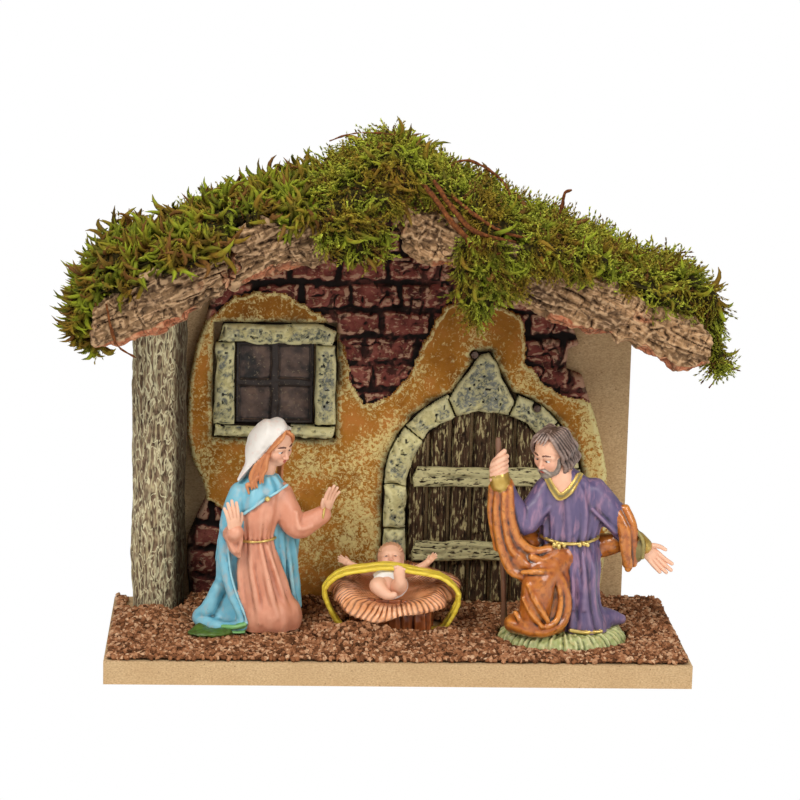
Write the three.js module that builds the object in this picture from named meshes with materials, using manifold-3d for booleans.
// Crib scene: a small stable on a fibreboard base, with two kneeling figures and a child in a manger.
// Millimetres. X to the right, Y into the stable, Z up. The origin is the centre of the base
// board's underside.
import * as THREE from 'three';
import { mergeVertices } from 'three/addons/utils/BufferGeometryUtils.js';
import Module from 'manifold-3d';

const wasm = await Module();
wasm.setup();

// Clearance between neighbouring pieces
const gap = 0.3;

// Base board and the layer of granulated cork on it
const board_width = 200;
const board_depth = 80;
const board_height = 8;
const cork_depth = 2;
const cork_margin = 0.6;

// Back panel, a gable-shaped board behind the base
const panel_width = 174;
const panel_offset = -1.5;
const panel_thickness = 4;

// Roof: two boards that meet at the apex
const apex_x = -5;
const apex_height = 163.6;
const roof_slope = 0.43;
const roof_board_thickness = 4;
const roof_half_span = 99;
const roof_half_span_right = 109;
const roof_front = -14;
const roof_back_overhang = 2;

// Corner post, a length of branch
const post_x = -84;
const post_y = 26.5;
const post_width = 18.4;
const post_depth = 25;

// Moulded front of the wall, with a window and a door
const wall_thickness = 7;
const stone_thickness = 8.5;
const window_x = -43;
const window_sill_top = 65.6;
const window_width = 28.4;
const window_height = 30;
const jamb_width = 7.5;
const lintel_height = 7;
const sill_height = 4;
const casement_thickness = 2;
const casement_bar = 2.2;
const casement_bar_rise = 1;
const door_x = 32.5;
const door_width = 55;
const door_spring = 44.2;
const arch_stone_width = 8.4;
const keystone_top = 93.5;
const door_thickness = 3.5;
const plank_count = 7;
const plank_groove = 1;
const batten_height = 7.4;
const batten_thickness = 2.2;
const batten_lower = 15.6;
const batten_upper = 43.3;

// Cork bark slabs and moss
const bark_thickness = 12;
const moss_thickness = 13;
const moss_overhang = 11;

// Nails
const nail_diameter = 1.2;
const nail_head_diameter = 2.6;
const nail_head_height = 0.6;
const nail_length = 14;
const pin_length = 9;

// Kneeling woman
const mary_x = -52;
const mary_y = 4;
const mary_height = 74.2;
const mary_base_length = 36;
const mary_base_width = 31;
const mary_base_height = 2.6;

// Kneeling man with a staff
const joseph_x = 58.5;
const joseph_y = -9;
const joseph_height = 72.6;
const joseph_base_length = 45;
const joseph_base_width = 40;
const joseph_base_height = 4.7;
const staff_diameter = 2.2;

// Manger, child and elastic band
const manger_x = -1;
const manger_y = -1;
const manger_turn = -0.12;
const manger_width = 28;
const manger_depth = 19;
const manger_height = 11.2;
const manger_wall = 1.6;
const straw_width = 45;
const straw_depth = 30.5;
const straw_hollow_rise = 0.6;
const child_torso_radius = 4.6;
const child_head_radius = 4.9;
const band_width = 3;
const band_thickness = 0.8;
const band_strand_spacing = 4.8;

// Places that follow from the sizes above
const board_top = board_height + gap;
const panel_front = board_depth / 2 + gap;
const wall_back = panel_front - gap;
const wall_front = wall_back - wall_thickness;
const stone_front = wall_back - stone_thickness;
const roof_back = panel_front + panel_thickness + roof_back_overhang;
const roof_rise = Math.hypot(1, roof_slope);
const bark_back = roof_front - gap;
const door_radius = door_width / 2;
const arch_centre = board_top + door_spring;
const arch_outer = door_radius + arch_stone_width;

const roofUnderside = (x) => apex_height - roof_slope * Math.abs(x - apex_x);
const roofTop = (x) => roofUnderside(x) + roof_board_thickness * roof_rise;
const vector = (x, y, z) => new THREE.Vector3(x, y, z);
const ripple = (seed) => 2 * THREE.MathUtils.euclideanModulo(Math.sin(seed * 12.9898) * 4375.85, 1) - 1;

// Finishes
const finish = (color, roughness = 0.85, metalness = 0) => new THREE.MeshStandardMaterial({
  color,
  roughness,
  metalness,
});
const fibreboard = finish(0xc4a478);
const granulated_cork = finish(0x8e5c3e, 0.95);
const painted_bark = finish(0xb9ad86, 0.95);
const stucco = finish(0xa8701f, 0.9);
const cast_stone = finish(0xcfc68c, 0.9);
const dark_wood = finish(0x3b2a20, 0.8);
const pale_wood = finish(0xc4bb88, 0.8);
const cork_bark = finish(0xb8977a, 0.95);
const moss = finish(0x5f7a2a, 1);
const steel = finish(0x8c8c8c, 0.45, 1);
const cloak_blue = finish(0x5fb2d2, 0.55);
const skin_tone = finish(0xe6b49a, 0.5);
const tunic_purple = finish(0x6b5b80, 0.5);
const grass_green = finish(0x8c9c58, 0.8);
const staff_brown = finish(0x3e241a, 0.5);
const manger_brown = finish(0x7a3e1e, 0.6);
const straw_orange = finish(0xd9945e, 0.65);
const band_yellow = finish(0xe2d244, 0.45);

// Shared geometry helpers

function bare(geometry) {
  const copy = geometry.index ? geometry.toNonIndexed() : geometry.clone();
  copy.deleteAttribute('normal');
  copy.deleteAttribute('uv');
  return mergeVertices(copy, 1e-4);
}

function solid(geometry) {
  const shared = bare(geometry);
  return new wasm.Manifold(new wasm.Mesh({
    numProp: 3,
    vertProperties: new Float32Array(shared.attributes.position.array),
    triVerts: new Uint32Array(shared.index.array),
  }));
}

function surface(manifold) {
  const mesh = manifold.getMesh();
  const geometry = new THREE.BufferGeometry();
  geometry.setAttribute('position', new THREE.BufferAttribute(mesh.vertProperties, 3));
  geometry.setIndex(new THREE.BufferAttribute(mesh.triVerts, 1));
  geometry.computeVertexNormals();
  return geometry;
}

const joined = (...geometries) => surface(geometries.map(solid).reduce((sum, next) => sum.add(next)));

function cut(geometry, ...tools) {
  return surface(tools.reduce((rest, tool) => rest.subtract(solid(tool)), solid(geometry)));
}

// Turns the faces of a closed mesh outwards
function outward(geometry) {
  const position = geometry.attributes.position;
  const index = geometry.index.array;
  const [a, b, c] = [vector(), vector(), vector()];
  let volume = 0;
  for (let i = 0; i < index.length; i += 3) {
    a.fromBufferAttribute(position, index[i]);
    b.fromBufferAttribute(position, index[i + 1]);
    c.fromBufferAttribute(position, index[i + 2]);
    volume += a.dot(b.cross(c));
  }
  if (volume < 0) {
    for (let i = 0; i < index.length; i += 3) [index[i], index[i + 1]] = [index[i + 1], index[i]];
  }
  geometry.computeVertexNormals();
  return geometry;
}

// A closed skin over rings of points; open rows of rings are closed by a fan at each end
function skin(rings, loop = false) {
  const sides = rings[0].length;
  const points = rings.flat();
  const faces = [];
  const spans = loop ? rings.length : rings.length - 1;
  for (let ring = 0; ring < spans; ring += 1) {
    const next = (ring + 1) % rings.length;
    for (let side = 0; side < sides; side += 1) {
      const turn = (side + 1) % sides;
      const corner = [ring * sides + side, ring * sides + turn, next * sides + turn, next * sides + side];
      faces.push(corner[0], corner[1], corner[2], corner[0], corner[2], corner[3]);
    }
  }
  if (!loop) {
    [0, rings.length - 1].forEach((end) => {
      const centre = rings[end].reduce((sum, p) => sum.add(p), vector(0, 0, 0)).divideScalar(sides);
      points.push(centre);
      for (let side = 0; side < sides; side += 1) {
        const pair = [end * sides + side, end * sides + ((side + 1) % sides)];
        if (end === 0) pair.reverse();
        faces.push(pair[0], pair[1], points.length - 1);
      }
    });
  }
  const geometry = new THREE.BufferGeometry();
  geometry.setAttribute('position', new THREE.Float32BufferAttribute(points.flatMap((p) => p.toArray()), 3));
  geometry.setIndex(faces);
  return outward(geometry);
}

// A level oval, with folds as shallow waves round it
function oval([x, y, z, half_width, half_depth], sides, folds = 0, fold_depth = 0) {
  return Array.from({ length: sides }, (_, side) => {
    const angle = (side / sides) * 2 * Math.PI;
    const wave = 1 + fold_depth * Math.cos(folds * angle);
    return vector(x + half_width * wave * Math.cos(angle), y + half_depth * wave * Math.sin(angle), z);
  });
}

// A tapering limb along a smooth path; each station is [x, y, z, half_width, half_thickness]
function limb(stations, { sides = 7, steps = 2, grow = 0, across = vector(1, 0, 0) } = {}) {
  const path = new THREE.CatmullRomCurve3(stations.map(([x, y, z]) => vector(x, y, z)));
  const count = (stations.length - 1) * steps;
  const rings = [];
  let side_axis = across.clone();
  for (let step = 0; step <= count; step += 1) {
    const t = step / count;
    const tangent = path.getTangent(t);
    side_axis = side_axis.clone().addScaledVector(tangent, -side_axis.dot(tangent)).normalize();
    const third_axis = tangent.clone().cross(side_axis);
    const place = Math.min(Math.floor(t * (stations.length - 1)), stations.length - 2);
    const part = t * (stations.length - 1) - place;
    const blend = (k) => THREE.MathUtils.lerp(stations[place][k], stations[place + 1][k], part) + grow;
    const centre = path.getPoint(t);
    if (step === 0) centre.addScaledVector(tangent, -grow);
    if (step === count) centre.addScaledVector(tangent, grow);
    rings.push(Array.from({ length: sides }, (_, side) => {
      const angle = (side / sides) * 2 * Math.PI;
      return centre.clone()
        .addScaledVector(side_axis, Math.cos(angle) * blend(3))
        .addScaledVector(third_axis, Math.sin(angle) * blend(4));
    }));
  }
  return skin(rings);
}

function ellipsoid([x, y, z], [half_x, half_y, half_z], detail = 10) {
  const ball = new THREE.SphereGeometry(1, detail, Math.round(detail * 0.7));
  return ball.rotateX(Math.PI / 2).scale(half_x, half_y, half_z).translate(x, y, z);
}

// A flat outline in X and Z, given a thickness along Y from its front
function plate(points, front, thickness) {
  const outline = new THREE.Shape(points.map(([x, z]) => new THREE.Vector2(x, z)));
  const sheet = new THREE.ExtrudeGeometry(outline, { depth: thickness, bevelEnabled: false });
  return sheet.rotateX(Math.PI / 2).translate(0, front + thickness, 0);
}

// An upright prism on a level oval
function column(x, y, half_width, half_depth, bottom, top, sides = 32) {
  return skin([bottom, top].map((z) => oval([x, y, z, half_width, half_depth], sides)));
}

// Moves the edges of an anticlockwise outline outwards
function grown(points, distance) {
  return points.map((point, i) => {
    const here = new THREE.Vector2(...point);
    const before = here.clone().sub(new THREE.Vector2(...points.at(i - 1))).normalize();
    const after = new THREE.Vector2(...points[(i + 1) % points.length]).sub(here).normalize();
    const mitre = distance / (1 + before.dot(after));
    return [point[0] + (before.y + after.y) * mitre, point[1] - (before.x + after.x) * mitre];
  });
}

function arc(x, z, radius, from, to, steps) {
  return Array.from({ length: steps + 1 }, (_, step) => {
    const angle = THREE.MathUtils.degToRad(THREE.MathUtils.lerp(from, to, step / steps));
    return [x + radius * Math.cos(angle), z + radius * Math.sin(angle)];
  });
}

function block(low, high) {
  const size = high.clone().sub(low);
  const middle = high.clone().add(low).divideScalar(2);
  return new THREE.BoxGeometry(size.x, size.y, size.z).translate(middle.x, middle.y, middle.z);
}

// A nail along +Z: its flush head ends at zero and its shank goes down
function nail(length, grow = 0, above = 0) {
  const head = nail_head_diameter / 2 + grow;
  const shank = nail_diameter / 2 + grow;
  const neck = -nail_head_height - grow;
  const tip = -length - grow;
  const profile = [[0, tip], [shank, tip], [shank, neck], [head, neck], [head, above], [0, above]];
  return new THREE.LatheGeometry(profile.map(([r, z]) => new THREE.Vector2(r, z)), 8).rotateX(Math.PI / 2);
}

// A nail or its bore, with its head's centre at a point and its shank along a direction
function driven(length, head, direction, bore = false) {
  const geometry = bore ? nail(length, gap, nail_head_height) : nail(length);
  const turn = new THREE.Quaternion().setFromUnitVectors(vector(0, 0, -1), direction.clone().normalize());
  return geometry.applyQuaternion(turn).translate(head.x, head.y, head.z);
}

const crib = new THREE.Group();
const stable = new THREE.Group();
const roof = new THREE.Group();
crib.add(stable, roof);

function add(parent, name, geometry, material, place = [0, 0, 0]) {
  const mesh = new THREE.Mesh(geometry, material);
  mesh.name = name;
  mesh.position.set(...place);
  parent.add(mesh);
}

// Places of the nails and pins: name, length, centre of the head and direction of the shank
const into_stable = vector(0, -1, 0);
const panel_back = panel_front + panel_thickness;
const panel_nails = [-1, 0, 1].map((side, i) => [
  `panel_nail_${i + 1}`,
  nail_length,
  vector(side * panel_width * 0.4, panel_back, board_height / 2),
  into_stable,
]);
const post_nails = [0.3, 0.75].map((share, i) => [
  `post_nail_${i + 1}`,
  nail_length,
  vector(post_x, panel_back, roofUnderside(post_x) * share),
  into_stable,
]);
const roof_nails = [-0.75, -0.3, 0.3, 0.75].map((share, i) => {
  const side = Math.sign(share);
  const x = apex_x + share * panel_width / 2;
  const down = vector(-side * roof_slope, 0, -1);
  return [`roof_nail_${i + 1}`, nail_length, vector(x, panel_front + panel_thickness / 2, roofTop(x)), down];
});
const pin_angle = THREE.MathUtils.degToRad(57.3);
const pin_radius = arch_outer - nail_diameter;
const facade_pins = [
  vector(door_x - 4.2, wall_front, board_top + keystone_top - 1),
  vector(
    door_x + pin_radius * Math.cos(pin_angle),
    stone_front,
    arch_centre + pin_radius * Math.sin(pin_angle),
  ),
].map((head, i) => [`facade_pin_${i + 1}`, pin_length, head, vector(0, 1, 0)]);
const bores = (nails) => nails.map(([, length, head, direction]) => driven(length, head, direction, true));
[...panel_nails, ...post_nails, ...roof_nails, ...facade_pins].forEach(([name, length, head, direction]) => {
  add(stable, name, driven(length, head, direction), steel);
});

// Base board
const board = block(
  vector(-board_width / 2, -board_depth / 2, 0),
  vector(board_width / 2, board_depth / 2, board_height),
);
add(stable, 'base_board', cut(board, ...bores(panel_nails)), fibreboard);

// Back panel
const panel_left = panel_offset - panel_width / 2;
const panel_right = panel_offset + panel_width / 2;
const under_roof = (x) => [x, roofUnderside(x) - gap * roof_rise];
const panel = plate([
  [panel_left, 0],
  [panel_right, 0],
  under_roof(panel_right),
  under_roof(apex_x),
  under_roof(panel_left),
], panel_front, panel_thickness);
add(stable, 'back_panel', cut(panel, ...bores([
  ...panel_nails,
  ...post_nails,
  ...roof_nails,
  ...facade_pins,
])), fibreboard);

// Corner post: uneven branch with a flat back, cut to the slope of the roof
function postSkin(grow) {
  const heights = Array.from({ length: 8 }, (_, i) => board_top - grow + i * 21);
  const rings = heights.map((z, i) => oval([
    post_x,
    post_y,
    z,
    post_width / 2 + grow + 0.5 * ripple(i),
    post_depth / 2 + grow,
  ], 20, 7, 0.025));
  return skin(rings);
}
const roof_cutter = plate([
  under_roof(apex_x - 2 * roof_half_span),
  under_roof(apex_x),
  [apex_x, 2 * apex_height],
  [apex_x - 2 * roof_half_span, 2 * apex_height],
], -board_depth, 2 * board_depth);
const behind_wall = block(vector(-board_width, wall_back, -gap), vector(0, board_depth, apex_height));
add(stable, 'corner_post', cut(postSkin(0), roof_cutter, behind_wall, ...bores(post_nails)), painted_bark);

// Wall front: an irregular moulded plaque, heights from the board's top
const wall_left_edge = [
  [-66, 112],
  [-68, 103],
  [-71, 95],
  [-73.8, 81],
  [-74.3, 63],
  [-72.3, 52.5],
  [-68.6, 45],
  [-66.8, 39],
  [-70.5, 31],
  [-73.6, 23],
  [-73.8, 12],
  [-72.6, 0],
];
const wall_right_edge = [
  [76.5, 0],
  [79, 30],
  [77.6, 50],
  [75.5, 60],
  [73, 69],
  [70.5, 76],
  [67.5, 85],
  [61.8, 87],
  [62, 94.5],
  [66, 96.5],
  [63.4, 103],
  [62, 110],
];
const wall_right_top = wall_right_edge.at(-1)[0];
const wall_left_top = wall_left_edge[0][0];
const raised = (points) => points.map(([x, z]) => [x, z + board_top]);
const wall_outline = [
  ...raised(wall_left_edge),
  ...raised(wall_right_edge),
  under_roof(wall_right_top),
  under_roof(apex_x),
  under_roof(wall_left_top),
];

// Door arch: stones in a ring with straight legs, and a pointed keystone
function archOutline(radius, bottom) {
  return [
    [door_x + radius, bottom],
    ...arc(door_x, arch_centre, radius, 0, 180, 16),
    [door_x - radius, bottom],
  ];
}
const keystone_angles = [70, 111];
const keystone_outline = [
  ...arc(door_x, arch_centre, door_radius, keystone_angles[1], keystone_angles[0], 3),
  [door_x + 11, board_top + 76.2],
  [door_x + 6, board_top + 84],
  [door_x + 1.5, board_top + keystone_top],
  [door_x - 2.5, board_top + keystone_top - 0.6],
  [door_x - 8, board_top + 84],
  [door_x - 13, board_top + 76],
];
const arch_joints_left = [keystone_angles[1], 143, 180];
const arch_joints_right = [keystone_angles[0], 41, 11];
const leg_joint_left = 27.8;
const leg_joint_right = 30;

const keystone_room = plate(grown(keystone_outline, gap), 0, board_depth);
const wall_holes = [plate(archOutline(arch_outer + gap, board_top - gap), 0, board_depth), keystone_room];

// A stone of the ring between two angles, with its joints one gap wide
function ringStone(from, to, swell) {
  const inner = THREE.MathUtils.radToDeg(gap / 2 / door_radius);
  const outer = THREE.MathUtils.radToDeg(gap / 2 / arch_outer);
  return plate([
    ...arc(door_x, arch_centre, arch_outer - swell, from + outer, to - outer, 4),
    ...arc(door_x, arch_centre, door_radius, to - inner, from + inner, 4),
  ], stone_front, stone_thickness);
}

function legStone(side, from, to, swell) {
  const inside = door_x + side * door_radius;
  const outside = door_x + side * (arch_outer - swell);
  return block(
    vector(Math.min(inside, outside), stone_front, board_top + from + gap / 2),
    vector(Math.max(inside, outside), wall_back, board_top + to - gap / 2),
  );
}

const right_end = arch_joints_right.at(-1);
const stones = [
  ['arch_stone_left_1', legStone(-1, -gap / 2, leg_joint_left, 0.5)],
  ['arch_stone_left_2', legStone(-1, leg_joint_left, door_spring, 0.2)],
  ['arch_stone_left_3', ringStone(arch_joints_left[1], arch_joints_left[2], 0.4)],
  ['arch_stone_left_4', ringStone(arch_joints_left[0], arch_joints_left[1], 0)],
  ['keystone', plate(keystone_outline, stone_front, stone_thickness)],
  ['arch_stone_right_4', ringStone(arch_joints_right[1], arch_joints_right[0], 0.1)],
  ['arch_stone_right_3', ringStone(right_end, arch_joints_right[1], 0.3)],
  ['arch_stone_right_2', joined(
    ringStone(-0.01, right_end, 0),
    legStone(1, leg_joint_right, door_spring + gap, 0),
  )],
  ['arch_stone_right_1', legStone(1, -gap / 2, leg_joint_right, 0.4)],
];
const pin_bores = bores(facade_pins);
stones.forEach(([name, geometry]) => {
  const neighbours = name === 'keystone' ? [] : [keystone_room];
  add(stable, name, cut(geometry, ...neighbours, ...pin_bores), cast_stone);
});

// Window: four cast stones round a casement with crossed bars
const sill_line = board_top + window_sill_top;
const window_left = window_x - window_width / 2;
const window_right = window_x + window_width / 2;
const head_line = sill_line + window_height;
const outer_left = window_left - jamb_width;
const outer_right = window_right + jamb_width;
const stone_plate = (points) => plate(points, stone_front, stone_thickness);
add(stable, 'window_sill', stone_plate([
  [outer_left, sill_line - sill_height],
  [outer_right - 1, sill_line - sill_height - 0.4],
  [outer_right, sill_line - 0.5],
  [outer_left + 0.4, sill_line],
]), cast_stone);
add(stable, 'window_lintel', stone_plate([
  [outer_left + 1.5, head_line],
  [outer_right - 1, head_line],
  [outer_right, head_line + lintel_height * 0.7],
  [outer_right - 5, head_line + lintel_height],
  [outer_left + 3, head_line + lintel_height],
]), cast_stone);
[['left', outer_left, window_left], ['right', window_right, outer_right]].forEach(([side, low, high]) => {
  add(stable, `window_${side}_jamb`, stone_plate([
    [low, sill_line + gap],
    [high, sill_line + gap],
    [high, head_line - gap],
    [low + 0.8, head_line - gap],
  ]), cast_stone);
});
wall_holes.push(plate([
  [outer_left - gap, sill_line - sill_height - 0.4 - gap],
  [outer_right + gap, sill_line - sill_height - 0.4 - gap],
  [outer_right + gap, head_line + lintel_height + gap],
  [outer_left - gap, head_line + lintel_height + gap],
], 0, board_depth));
const pane_front = wall_back - casement_thickness;
const pane_low = vector(window_left + gap, pane_front, sill_line + gap);
const pane_high = vector(window_right - gap, wall_back, head_line - gap);
const bar_front = pane_front - casement_bar_rise;
const bar_half = casement_bar / 2;
const window_middle = (sill_line + head_line) / 2;
add(stable, 'window_casement', joined(
  block(pane_low, pane_high),
  block(
    vector(window_x - bar_half, bar_front, pane_low.z),
    vector(window_x + bar_half, wall_back - gap, pane_high.z),
  ),
  block(
    vector(pane_low.x, bar_front, window_middle - bar_half),
    vector(pane_high.x, wall_back - gap, window_middle + bar_half),
  ),
), dark_wood);

const wall = plate(wall_outline, wall_front, wall_thickness);
add(stable, 'facade_wall', cut(wall, ...wall_holes, ...pin_bores), stucco);

// Door: planks with open joints, and two battens across them
const leaf_front = wall_back - door_thickness;
const leaf = plate(archOutline(door_radius - gap, board_top), leaf_front, door_thickness);
const grooves = Array.from({ length: plank_count - 1 }, (_, i) => {
  const x = door_x - door_radius + (i + 1) * (door_width / plank_count);
  return block(
    vector(x - plank_groove / 2, leaf_front - gap, board_top - gap),
    vector(x + plank_groove / 2, leaf_front + plank_groove, arch_centre + door_radius),
  );
});
add(stable, 'door_leaf', cut(leaf, ...grooves), dark_wood);
[['lower', batten_lower], ['upper', batten_upper]].forEach(([name, height]) => {
  const back = leaf_front - gap;
  add(stable, `door_batten_${name}`, plate(raised([
    [door_x - door_radius + 2.5, height],
    [door_x + door_radius - 3, height + 0.4],
    [door_x + door_radius - 2.5, height + batten_height * 0.8],
    [door_x + door_radius - 4, height + batten_height],
    [door_x - door_radius + 3.5, height + batten_height],
    [door_x - door_radius + 2, height + batten_height * 0.5],
  ]), back - batten_thickness, batten_thickness), pale_wood);
});

// Roof boards
const roof_sides = [['left', -1, roof_half_span], ['right', 1, roof_half_span_right]];
function roofBoard(side, span, grow = 0) {
  const inner = apex_x + side * (gap / 2 - grow);
  const outer = apex_x + side * (span + grow);
  const lift = (roof_board_thickness + grow) * roof_rise;
  const drop = grow * roof_rise;
  const corners = [
    [inner, roofUnderside(inner) - drop],
    [outer, roofUnderside(outer) - drop],
    [outer, roofUnderside(outer) + lift],
    [inner, roofUnderside(inner) + lift],
  ];
  if (side < 0) corners.reverse();
  return plate(corners, roof_front - grow, roof_back - roof_front + 2 * grow);
}
roof_sides.forEach(([name, side, span]) => {
  add(roof, `roof_board_${name}`, cut(roofBoard(side, span), ...bores(roof_nails)), fibreboard);
});

// Cork bark along the front edge: [distance from the apex, below the board's underside, above it]
const bark_slabs = {
  bark_left_lower: [-1, [
    [99.5, 9, 5],
    [96, 10.5, 8],
    [89, 12, 10],
    [79, 12, 11],
    [69, 12, 10.6],
    [61, 10.4, 11.4],
    [54, 10, 12],
  ]],
  bark_left_upper: [-1, [
    [53, 9, 12.5],
    [44, 8, 13.6],
    [35, 9.3, 11],
    [25, 10.8, 7],
    [15, 12, 5],
    [4, 13, 1.5],
  ]],
  bark_right_upper: [1, [
    [3, 9, -1.5],
    [5, 14, 1],
    [10, 16.5, 2.5],
    [16, 16, 5],
    [23, 13, 6],
    [32, 11, 6],
  ]],
  bark_right_lower: [1, [
    [33.5, 12, 4],
    [38, 15.5, 5],
    [47, 17, 6],
    [57, 16, 6],
    [68, 15.5, 6],
    [79, 14, 7],
    [90, 13.2, 8],
    [101, 11.4, 7.5],
    [108.5, 6, 5],
  ]],
};
function barkSlab([side, stations], grow = 0) {
  const rings = stations.map(([distance, below, above], i) => {
    const end = i === 0 || i === stations.length - 1;
    const outwards = end ? (i === 0 ? -1 : 1) * grow * Math.sign(stations.at(-1)[0] - stations[0][0]) : 0;
    const x = apex_x + side * (distance + outwards);
    const middle = roofUnderside(x) + (above - below) / 2;
    const half_height = (above + below) / 2 + grow * roof_rise;
    const half_depth = bark_thickness / 2 + grow;
    return Array.from({ length: 12 }, (_, point) => {
      const angle = ((point + 0.5) / 12) * 2 * Math.PI;
      const square = 1 / Math.max(Math.abs(Math.cos(angle)), Math.abs(Math.sin(angle)));
      const reach = Math.min(square, 1.18) + 0.05 * ripple(i * 12 + point) - 0.05;
      return vector(
        x,
        bark_back - bark_thickness / 2 + half_depth * Math.min(1, reach * Math.cos(angle)),
        middle + half_height * reach * Math.sin(angle),
      );
    });
  });
  return skin(rings);
}
Object.entries(bark_slabs).forEach(([name, slab]) => add(roof, name, barkSlab(slab), cork_bark));

// Moss mats: [x, share of the moss thickness, droop of the lower side at the eave], and tufts
const moss_mats = {
  moss_left: [[
    [-114, 0.31, 7],
    [-110, 0.75, 4],
    [-103, 1, 0],
    [-92, 0.94, 0],
    [-78, 1.06, 0],
    [-62, 1.13, 0],
    [-46, 1.06, 0],
    [-32, 1, 0],
  ], [
    [[-108, -20, 118], [8, 6, 10]],
    [[-60, -20, 150], [13, 7, 5]],
  ]],
  moss_ridge: [[
    [-31, 0.94, 0],
    [-22, 1.13, 0],
    [-12, 1.19, 0],
    [-5, 1.13, 0],
    [4, 1.06, 0],
  ], [
    [[-18, -29, 153], [14, 5, 12]],
  ]],
  moss_right: [[
    [5, 1, 0],
    [16, 1, 0],
    [30, 0.88, 0],
    [46, 0.94, 0],
    [62, 1, 0],
    [78, 1, 0],
    [92, 1.06, 0],
    [103, 1.06, 0],
    [109, 0.88, 5],
    [114, 0.38, 12],
  ], [
    [[24, -28, 141], [10, 5, 18]],
    [[109, -20, 122], [8, 7, 12]],
  ]],
};
function mossRing([x, share, droop]) {
  const base = roofTop(x) + gap * roof_rise;
  const back = roof_back + 1.5;
  const front = roof_front - moss_overhang;
  const crown = share * moss_thickness;
  const profile = [
    [back, -droop],
    [back + 2, 0.35 * crown - droop / 2],
    [back - 3, 0.8 * crown],
    [back - 14, 1.05 * crown],
    [back - 28, 0.95 * crown],
    [back - 42, crown],
    [front + 10, 0.95 * crown],
    [front + 2, 0.6 * crown],
    [front - 2, 0.1 * crown - droop / 2],
    [front + 4, -1 - droop],
    [0, -droop],
  ];
  return profile.map(([y, z], i) => vector(x, y, base + z + (i > 1 && i < 8 ? ripple(x + i) : 0)));
}
const clearance_solids = [
  ...roof_sides.map(([, side, span]) => roofBoard(side, span, gap)),
  ...Object.values(bark_slabs).map((slab) => barkSlab(slab, 1.5 * gap)),
];
Object.entries(moss_mats).forEach(([name, [stations, clumps]]) => {
  const mat = skin(stations.map(mossRing));
  const tufts = clumps.map(([centre, radii]) => ellipsoid(centre, radii, 9));
  add(roof, name, cut(joined(mat, ...tufts), ...clearance_solids), moss);
});

// Kneeling woman, drawn about the middle of her base at 74.2 mm and set to her height
const mary_drawn_height = 74.2;
const mary = new THREE.Group();
mary.position.set(mary_x, mary_y, board_top + mary_base_height + gap);
mary.scale.setScalar(mary_height / mary_drawn_height);
crib.add(mary);
const mary_rings = [
  [0, 0, 0, 18.5, 16],
  [1.4, -2.5, 3.8, 16.5, 14.5],
  [3.7, -3, 10, 14.6, 13],
  [3.3, -4, 21, 15, 11],
  [3, -7, 31, 13.6, 9],
  [3.3, -8, 39, 11.6, 8.2],
  [4.3, -8, 46, 10.2, 7.6],
  [5, -8.5, 51, 9, 6.6],
  [5.5, -9, 54.5, 7, 5.8],
  [6.3, -9.5, 58, 5.6, 5.6],
  [8, -10, 62, 6.2, 6.8],
  [8.8, -10, 66, 6.4, 7.2],
  [9.5, -9.6, 70, 5.6, 6.4],
  [10, -9.4, 73, 3.6, 4.2],
  [10.2, -9.4, 74.2, 1.2, 1.5],
];
const mary_left_arm = [[11, -9, 47, 4.4, 4.4], [16.5, -12, 35.5, 4.8, 4.8], [26.5, -11, 40.3, 3, 3]];
const mary_right_arm = [[-4, -10, 47, 4.2, 4.2], [-5.5, -14, 34.5, 4.6, 4.6], [-4, -20.5, 35.3, 3, 3]];
const armLimb = (arm, grow = 0) => limb(arm, { steps: 3, grow });
const mary_figure = joined(
  skin(mary_rings.map((ring) => oval(ring, 24, 9, 0.02))),
  armLimb(mary_left_arm),
  armLimb(mary_right_arm),
  limb([[15, -2, 36, 3, 5], [18, 1, 22, 2.5, 6], [17.5, 4, 8, 2, 6]], { steps: 2 }),
);
add(mary, 'mary_figure', mary_figure, cloak_blue);

// An open hand: a flat palm that widens and thins to the finger tips, cut off at the end of its sleeve
function openHand(arm, reach, across) {
  const wrist = arm.at(-1).slice(0, 3);
  const at = (share, ...half) => [...wrist.map((value, i) => value + share * reach[i]), ...half];
  return cut(
    limb([at(0, 1.3, 1.2), at(0.3, 1.9, 1.3), at(0.6, 2.7, 1.3), at(1, 2, 0.7)], { steps: 2, across }),
    armLimb(arm, gap),
  );
}
const mary_palm = vector(0.8, 0.6, 0);
[['left', mary_left_arm, [2.9, -0.5, 10.5]], ['right', mary_right_arm, [-1.7, -2.5, 11.5]]]
  .forEach(([side, arm, reach]) => {
    add(mary, `mary_${side}_hand`, openHand(arm, reach, mary_palm), skin_tone);
  });

// A figure's base: an oval that slopes in to its top
function footing(x, y, length, width, height, grow = 0) {
  const half = [length / 2 + grow, width / 2 + grow];
  return skin([
    oval([x, y, board_top, ...half], 28),
    oval([x, y, board_top + height * 0.45, ...half.map((size) => size - 0.8)], 28),
    oval([x, y, board_top + height, ...half.map((size) => size - 3.6)], 28),
  ]);
}
add(crib, 'mary_base', footing(
  mary_x,
  mary_y,
  mary_base_length,
  mary_base_width,
  mary_base_height,
), grass_green);

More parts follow.
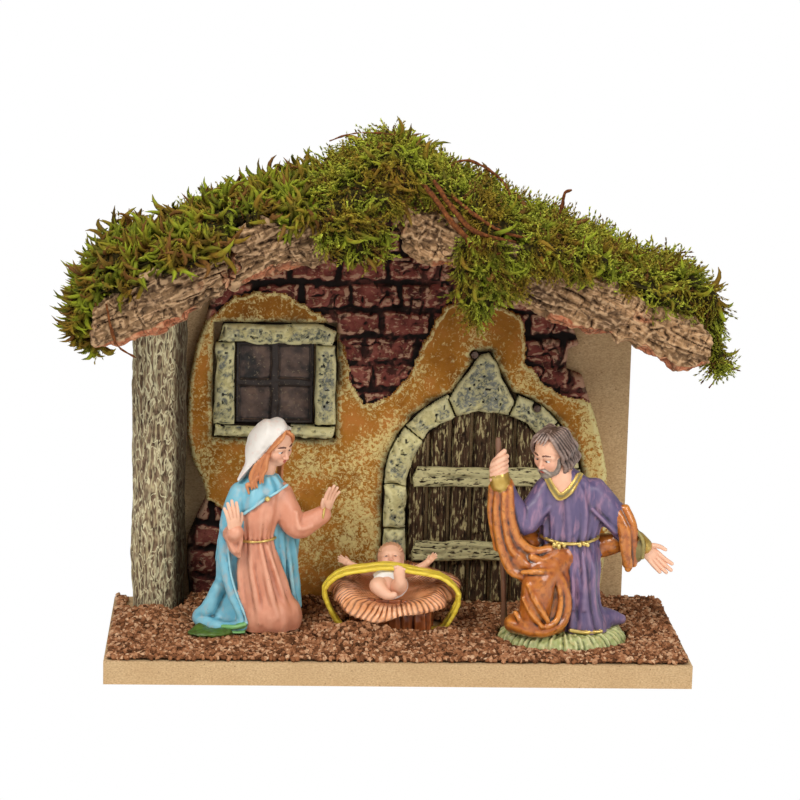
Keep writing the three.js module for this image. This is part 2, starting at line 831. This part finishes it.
// Kneeling man, drawn about the middle of his base at 72.6 mm and set to his height
const joseph_drawn_height = 72.6;
const joseph_size = joseph_height / joseph_drawn_height;
const joseph = new THREE.Group();
joseph.position.set(joseph_x, joseph_y, board_top + joseph_base_height + gap);
joseph.scale.setScalar(joseph_size);
crib.add(joseph);
const joseph_rings = [
  [1.2, 0.5, 0, 16, 12.5],
  [-0.2, 0, 4, 14.6, 12],
  [-1, 0, 12, 13.4, 11.5],
  [-0.6, -1, 20, 12, 10],
  [0.2, -1.6, 27, 10.8, 8.2],
  [0.6, -2, 32, 10, 6.8],
  [0.5, -2.4, 39, 10.4, 6.8],
  [0.3, -3, 47, 10.8, 6.8],
  [-0.4, -3.5, 51, 9.6, 6.2],
  [-1.4, -4.5, 54, 7.2, 5.4],
  [-4, -5.5, 57.4, 5.2, 5.4],
  [-5.6, -6.5, 61, 7, 6.8],
  [-6.7, -6.5, 66, 7.2, 7],
  [-7, -6.4, 70, 5.4, 5.2],
  [-7.4, -6.4, 72.6, 2, 2],
];
const staff_line = [[-20, 4, -3.2], [-25.5, -9, 69]];
const staffLimb = (grow) => limb(
  staff_line.map((point, i) => [...point, staff_diameter / 2 - 0.2 * i, staff_diameter / 2 - 0.2 * i]),
  { grow, steps: 4 },
);
const joseph_right_arm = [[-8, -3.5, 48, 4.4, 4.4], [-15.5, -6, 39, 4.8, 4.8], [-23.2, -9, 51.5, 3.2, 3.2]];
const joseph_left_arm = [[9, -3, 48, 4.6, 4.6], [18, -2.2, 37.5, 5, 5], [25.5, -3.4, 30, 3.8, 3.8]];
const joseph_body = joined(
  skin(joseph_rings.map((ring) => oval(ring, 24, 11, 0.02))),
  armLimb(joseph_right_arm),
  armLimb(joseph_left_arm),
  limb([[-2, -3, 27, 7, 7], [-9, -10, 22, 6.6, 6.6], [-10.5, -11, 8, 6, 6], [-11, -10.5, 0.2, 5, 6]], {
    steps: 3,
  }),
  limb([[-20.5, -8.5, 46, 3.6, 2.4], [-18, -8, 33, 5, 2.6], [-14, -8, 20, 6, 3]], { steps: 3 }),
  limb([[6, 2, 27, 2.4, 7], [15, 0, 26, 2, 6.5], [22, -2.6, 27, 2.4, 7.5]], {
    steps: 3,
    across: vector(0, 1, 0),
  }),
);
add(joseph, 'joseph_figure', cut(joseph_body, staffLimb(gap)), tunic_purple);
const fist = ellipsoid([-24.8, -9, 58.6], [4.2, 4, 5], 12);
add(joseph, 'joseph_right_hand', cut(
  fist,
  staffLimb(gap),
  armLimb(joseph_right_arm, gap),
), skin_tone);
const joseph_palm = vector(0.5, 0.7, 0.5);
add(joseph, 'joseph_left_hand', openHand(joseph_left_arm, [9.1, -1.4, -9.1], joseph_palm), skin_tone);
add(joseph, 'staff', staffLimb(0), staff_brown);

const staff_bore = staffLimb(gap / joseph_size).scale(joseph_size, joseph_size, joseph_size)
  .translate(...joseph.position.toArray());
const joseph_foot = footing(joseph_x, joseph_y, joseph_base_length, joseph_base_width, joseph_base_height);
add(crib, 'joseph_base', cut(joseph_foot, staff_bore), grass_green);

// Manger: an open box on four legs, with the band passing under it, drawn about its middle
const leg_height = 2 * band_thickness + 3 * gap;
const manger = new THREE.Group();
manger.position.set(manger_x, manger_y, board_top + leg_height);
manger.rotation.z = manger_turn;
crib.add(manger);
const half_box = vector(manger_width / 2, manger_depth / 2, manger_height);
const hollow = block(
  vector(-half_box.x + manger_wall, -half_box.y + manger_wall, manger_wall),
  vector(half_box.x - manger_wall, half_box.y - manger_wall, manger_height + gap),
);
const leg_size = 1.8 * manger_wall;
const legs = [[-1, -1], [1, -1], [1, 1], [-1, 1]].map(([sx, sy]) => {
  const corner = vector(sx * (half_box.x - 0.4 * leg_size), sy * (half_box.y - 0.4 * leg_size), 0);
  return block(
    vector(corner.x - leg_size / 2, corner.y - leg_size / 2, -leg_height),
    vector(corner.x + leg_size / 2, corner.y + leg_size / 2, manger_height - 1),
  );
});
const box = block(vector(-half_box.x, -half_box.y, 0), half_box);
add(manger, 'manger_box', cut(joined(box, ...legs), hollow), manger_brown);

// Straw: a plug in the box that flares over the rim in ribbed bundles, with a hollow for the child
const straw_ribs = 26;
const straw_sides = 3 * straw_ribs;
const straw_notch = 0.09;
const notch_angle = -0.3;
const tongue_reach = 4.5;
const tongue_angle = -0.22;
const plug = [half_box.x - manger_wall - gap, half_box.y - manger_wall - gap];
function strawRing(half_x, half_y, height, squareness, rib, tongue) {
  return Array.from({ length: straw_sides }, (_, side) => {
    const angle = (side / straw_sides) * 2 * Math.PI;
    const [c, s] = [Math.cos(angle), Math.sin(angle)];
    const reach = (Math.abs(c) ** squareness + Math.abs(s) ** squareness) ** (-1 / squareness);
    const front = Math.max(0, -Math.sin(angle - tongue_angle)) ** 12;
    const bundles = 1 - straw_notch * tongue * Math.cos(5 * (angle - notch_angle));
    const lobes = bundles + 0.02 * rib * (side % 3 === 0 ? 1 : -0.5);
    return vector(
      half_x * reach * lobes * c,
      half_y * reach * lobes * s - tongue_reach * tongue * front,
      height + (tongue + 1) * (s < 0 ? 1.2 : 2.4) * s - 2.6 * tongue * front,
    );
  });
}
const straw_half = [straw_width / 2, straw_depth / 2];
const hollow_floor = manger_height + straw_hollow_rise;
const level = (points, height) => points.map((point) => vector(point.x, point.y, height));
const plugRing = (height) => level(strawRing(plug[0], plug[1], height, 8, 0, 0), height);
add(manger, 'manger_straw', skin([
  plugRing(manger_wall + gap),
  plugRing(manger_height - 0.4),
  level(strawRing(plug[0], plug[1], 0, 4, 0, 0), manger_height + 2 * gap),
  strawRing(straw_half[0] * 0.86, straw_half[1] * 0.92, manger_height + 3.2, 2, 0.6, 0.2),
  strawRing(straw_half[0], straw_half[1], manger_height - 0.8, 2, 1, 1),
  strawRing(straw_half[0] + 0.3, straw_half[1] + 0.3, manger_height + 1.2, 2, 1, 1),
  strawRing(straw_half[0] * 0.8, straw_half[1] * 0.8, manger_height + 5.2, 2, 1.2, 0.6),
  strawRing(straw_half[0] * 0.5, straw_half[1] * 0.66, manger_height + 2.4, 2, 0.8, 0.2),
  level(strawRing(straw_half[0] * 0.26, straw_half[1] * 0.54, 0, 2, 0, 0), hollow_floor),
]), straw_orange);

// Child: torso on the hollow's floor, head to the back, arms spread and feet up in front
const torso_height = hollow_floor + gap + child_torso_radius;
const head_place = [-1, 5, torso_height + 5.2];
const child = joined(
  limb([
    [-1, 2.5, torso_height + 2.2, 2.6, 2.6],
    [-1, 0.5, torso_height + 1.2, 4.4, 3.8],
    [-1.2, -5, torso_height, child_torso_radius, child_torso_radius],
    [-1.5, -9.5, torso_height + 0.2, 4.4, 4.3],
    [-1.5, -12, torso_height + 0.6, 2.4, 2.4],
  ], { sides: 10 }),
  ellipsoid(head_place, [child_head_radius, child_head_radius, child_head_radius * 1.05], 12),
  limb([
    [-4.6, 1, torso_height + 2, 1.9, 1.9],
    [-11.5, 1.6, torso_height + 2.4, 1.6, 1.6],
    [-15.2, 0.8, torso_height + 4.2, 1.2, 1.2],
    [-18.4, 0.4, torso_height + 6, 1.5, 0.7],
  ]),
  limb([
    [2.6, 1, torso_height + 2, 1.9, 1.9],
    [8.4, 1.6, torso_height + 3, 1.6, 1.6],
    [11.6, 0.8, torso_height + 5.6, 1.2, 1.2],
    [14.6, 0.4, torso_height + 8.4, 1.5, 0.7],
  ]),
  limb([
    [-3.4, -9.5, torso_height + 0.4, 2.6, 2.6],
    [-5.4, -12.8, torso_height + 1.6, 2.3, 2.3],
    [-2.2, -14.4, torso_height + 0.8, 1.5, 1.5],
    [0, -14.8, torso_height + 1.8, 1.4, 0.9],
  ]),
  limb([
    [0.8, -9.5, torso_height + 0.6, 2.6, 2.6],
    [1.6, -12.2, torso_height + 2.2, 2.1, 2.1],
    [2, -14, torso_height + 4.6, 1.6, 1.6],
    [2, -15, torso_height + 7.4, 1.6, 1],
  ]),
);
add(manger, 'child', child, skin_tone);

// Elastic band: one flat loop that goes twice round the manger, crossing itself underneath
const child_top = torso_height + child_torso_radius;
const band_under = -leg_height + band_thickness + gap / 2;
const band_path = [
  [0, band_under],
  [-half_box.x + 2, band_under],
  [-half_box.x - 1, band_under + 0.05],
  [-half_box.x - 3.4, band_under + 0.9],
  [-half_box.x - 6, 3],
  [-straw_half[0] - 0.8, manger_height - 1],
  [-straw_half[0] - 0.9, manger_height + 2.6],
  [-straw_half[0] * 0.8, manger_height + 8],
  [-9, child_top + gap - 0.2],
  [-1, child_top + gap + 1],
  [7, child_top + gap - 0.2],
  [straw_half[0] * 0.8, manger_height + 8],
  [straw_half[0] + 0.9, manger_height + 2.6],
  [straw_half[0] + 0.8, manger_height - 1],
  [half_box.x + 6, 3],
  [half_box.x + 3.4, band_under + 0.9],
  [half_box.x + 1, band_under + 0.05],
  [half_box.x - 2, band_under],
];
const band_low_y = -3;
const band_high_y = -5.8;
const bandY = (z) => THREE.MathUtils.mapLinear(z, band_under, child_top, band_low_y, band_high_y);
const band_curve = new THREE.CatmullRomCurve3(band_path.map(([x, z]) => vector(x, bandY(z), z)), true);
const band_steps = 72;
const crossing_lift = band_thickness / 2 + gap / 2;
const band_rings = Array.from({ length: band_steps }, (_, step) => {
  const turn = (2 * step) / band_steps;
  const centre = band_curve.getPointAt(turn % 1);
  const tangent = band_curve.getTangentAt(turn % 1);
  const normal = tangent.clone().cross(vector(0, 1, 0)).normalize();
  const phase = turn * Math.PI;
  centre.addScaledVector(normal, crossing_lift * Math.cos(phase));
  const side = centre.y + (band_strand_spacing / 2) * Math.sin(phase);
  return [[-1, -1], [1, -1], [1, 1], [-1, 1]].map(([across, out]) => {
    const corner = centre.clone().addScaledVector(normal, out * band_thickness / 2);
    corner.y = side + across * band_width / 2;
    return corner;
  });
});
add(manger, 'elastic_band', skin(band_rings, true), band_yellow);

// Granulated cork: an uneven layer with pockets for all that stands on the board
const mounds = [
  [-88, 4, 9, 4],
  [-70, 26, 8, 4],
  [-20, 30, 12, 2],
  [84, 34, 9, 8],
  [-14, -24, 8, 3],
  [20, -26, 12, 1],
  [70, 24, 12, 1.5],
];
const cork_edge = vector(board_width / 2 - cork_margin, board_depth / 2 - cork_margin, 0);
const [cork_columns, cork_rows] = [30, 12];
const corkHeight = (x, y) => cork_depth + mounds.reduce((sum, [mx, my, radius, height]) => (
  sum + height * Math.exp(-(((x - mx) / radius) ** 2) - ((y - my) / radius) ** 2)
), 0.5 * ripple(x * 0.37 + y * 1.7));
function corkLayer() {
  const points = [];
  for (let row = 0; row <= cork_rows; row += 1) {
    for (let column_index = 0; column_index <= cork_columns; column_index += 1) {
      const x = THREE.MathUtils.lerp(-cork_edge.x, cork_edge.x, column_index / cork_columns);
      const y = THREE.MathUtils.lerp(-cork_edge.y, cork_edge.y, row / cork_rows);
      const edge = [0, cork_rows].includes(row) || [0, cork_columns].includes(column_index);
      points.push(vector(x, y, board_top + (edge ? 0.6 * cork_depth : corkHeight(x, y))));
    }
  }
  const at = (row, column_index) => row * (cork_columns + 1) + column_index;
  const faces = [];
  for (let row = 0; row < cork_rows; row += 1) {
    for (let i = 0; i < cork_columns; i += 1) {
      faces.push(at(row, i), at(row, i + 1), at(row + 1, i + 1));
      faces.push(at(row, i), at(row + 1, i + 1), at(row + 1, i));
    }
  }
  const rim = [];
  for (let i = 0; i < cork_columns; i += 1) rim.push(at(0, i));
  for (let row = 0; row < cork_rows; row += 1) rim.push(at(row, cork_columns));
  for (let i = cork_columns; i > 0; i -= 1) rim.push(at(cork_rows, i));
  for (let row = cork_rows; row > 0; row -= 1) rim.push(at(row, 0));
  const foot = points.length;
  rim.forEach((top) => points.push(points[top].clone().setZ(board_top)));
  const middle = points.length;
  points.push(vector(0, 0, board_top));
  rim.forEach((top, i) => {
    const next = (i + 1) % rim.length;
    faces.push(top, foot + i, foot + next, top, foot + next, rim[next], foot + next, foot + i, middle);
  });
  const geometry = new THREE.BufferGeometry();
  geometry.setAttribute('position', new THREE.Float32BufferAttribute(points.flatMap((p) => p.toArray()), 3));
  geometry.setIndex(faces);
  return outward(geometry);
}
const pocket_top = board_top + 30;
const pocket = (x, y, length, width) => column(x, y, length / 2 + gap, width / 2 + gap, 0, pocket_top);
const wall_pocket = block(
  vector(wall_left_edge.at(-1)[0] - 2 * gap - 1.4, stone_front - gap, 0),
  vector(wall_right_edge[1][0] + gap, board_depth, pocket_top),
);
const post_pocket = block(
  vector(post_x - post_width / 2 - 1.5 - gap, post_y, 0),
  vector(wall_left_edge.at(-1)[0], board_depth, pocket_top),
);
const turned = (geometry) => geometry.rotateZ(manger_turn).translate(manger_x, manger_y, 0);
const manger_pocket = turned(block(
  vector(-half_box.x - 0.9 * leg_size - gap, -half_box.y - 0.9 * leg_size - gap, 0),
  vector(half_box.x + 0.9 * leg_size + gap, half_box.y + 0.9 * leg_size + gap, pocket_top),
));
const band_reach = band_strand_spacing / 2 + band_width / 2 + gap;
const band_pocket = turned(block(
  vector(-straw_half[0], band_low_y - band_reach, 0),
  vector(straw_half[0], band_low_y + band_reach, pocket_top),
));
add(stable, 'ground_cork', cut(
  corkLayer(),
  pocket(mary_x, mary_y, mary_base_length, mary_base_width),
  pocket(joseph_x, joseph_y, joseph_base_length, joseph_base_width),
  pocket(post_x, post_y, post_width + 3, post_depth + 2),
  post_pocket,
  wall_pocket,
  manger_pocket,
  band_pocket,
), granulated_cork);

export default crib;
